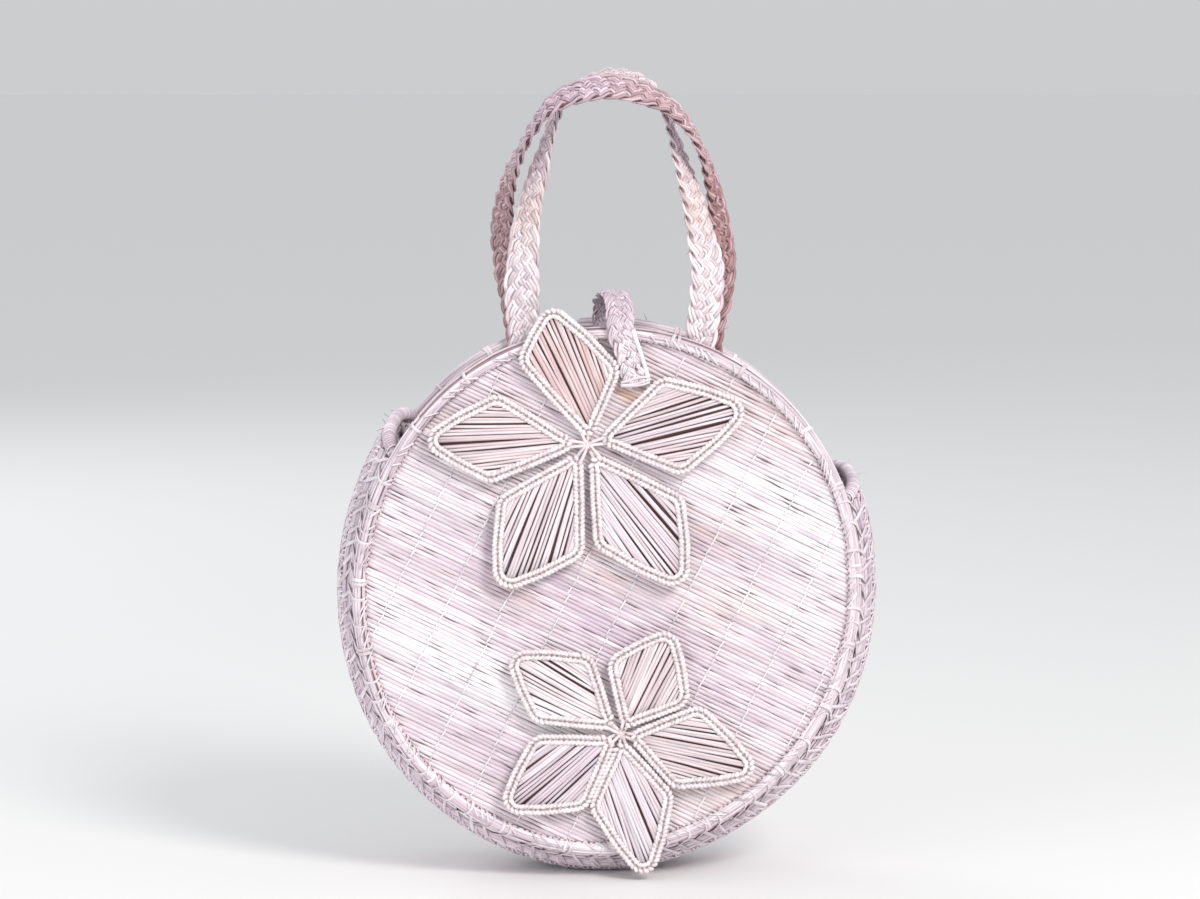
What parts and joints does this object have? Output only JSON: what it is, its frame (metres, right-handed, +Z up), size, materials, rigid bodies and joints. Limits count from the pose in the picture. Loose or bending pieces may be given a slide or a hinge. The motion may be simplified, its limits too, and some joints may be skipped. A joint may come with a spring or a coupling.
{
  "type": "round raffia handbag",
  "caption": "Round flat-faced straw handbag with a coiled side wall, crossing braided handles, a braided closure strap and petal flowers on the front.",
  "frame": {"origin": "middle of the flat underside, under the middle of the bag's depth", "axes": "+Z up to the handles, -Y out of the front face with the flowers, +X to the right seen from the front"},
  "size_m": [0.3393, 0.1092, 0.5048],
  "materials": {
    "splint": "dry palm splints laid side by side, pale lilac-pink and cream, slight sheen",
    "rim_straw": "straw bundle under sparse wrapping, satin",
    "coil_straw": "coiled straw rows lashed with flat strips, greyed mauve, matte",
    "braid_pale": "flat raffia braid, pale lilac-white, soft sheen",
    "braid_mauve": "flat raffia braid, dusty mauve brown, soft sheen",
    "petal_cord": "doubled crochet straw cord, cream pink, matte",
    "petal_straw": "parallel straws with dark gaps, satin"
  },
  "bodies": {
    "root": {"front_panel": "splint", "back_panel": "splint", "front_rim": "rim_straw", "back_rim": "rim_straw", "gusset": "coil_straw", "end_binding_left": "coil_straw", "end_binding_right": "coil_straw", "front_handle": "braid_pale", "back_handle": "braid_mauve", "closure_strap": "braid_pale", "upper_flower_knot": "petal_cord", "lower_flower_knot": "petal_cord", "upper_petal_edge_1": "petal_cord", "upper_petal_edge_2": "petal_cord", "upper_petal_edge_3": "petal_cord", "upper_petal_edge_4": "petal_cord", "upper_petal_edge_5": "petal_cord", "upper_petal_web_1": "petal_straw", "upper_petal_web_2": "petal_straw", "upper_petal_web_3": "petal_straw", "upper_petal_web_4": "petal_straw", "upper_petal_web_5": "petal_straw", "lower_petal_edge_1": "petal_cord", "lower_petal_edge_2": "petal_cord", "lower_petal_edge_3": "petal_cord", "lower_petal_edge_4": "petal_cord", "lower_petal_edge_5": "petal_cord", "lower_petal_web_1": "petal_straw", "lower_petal_web_2": "petal_straw", "lower_petal_web_3": "petal_straw", "lower_petal_web_4": "petal_straw", "lower_petal_web_5": "petal_straw"}
  },
  "joints": []
}
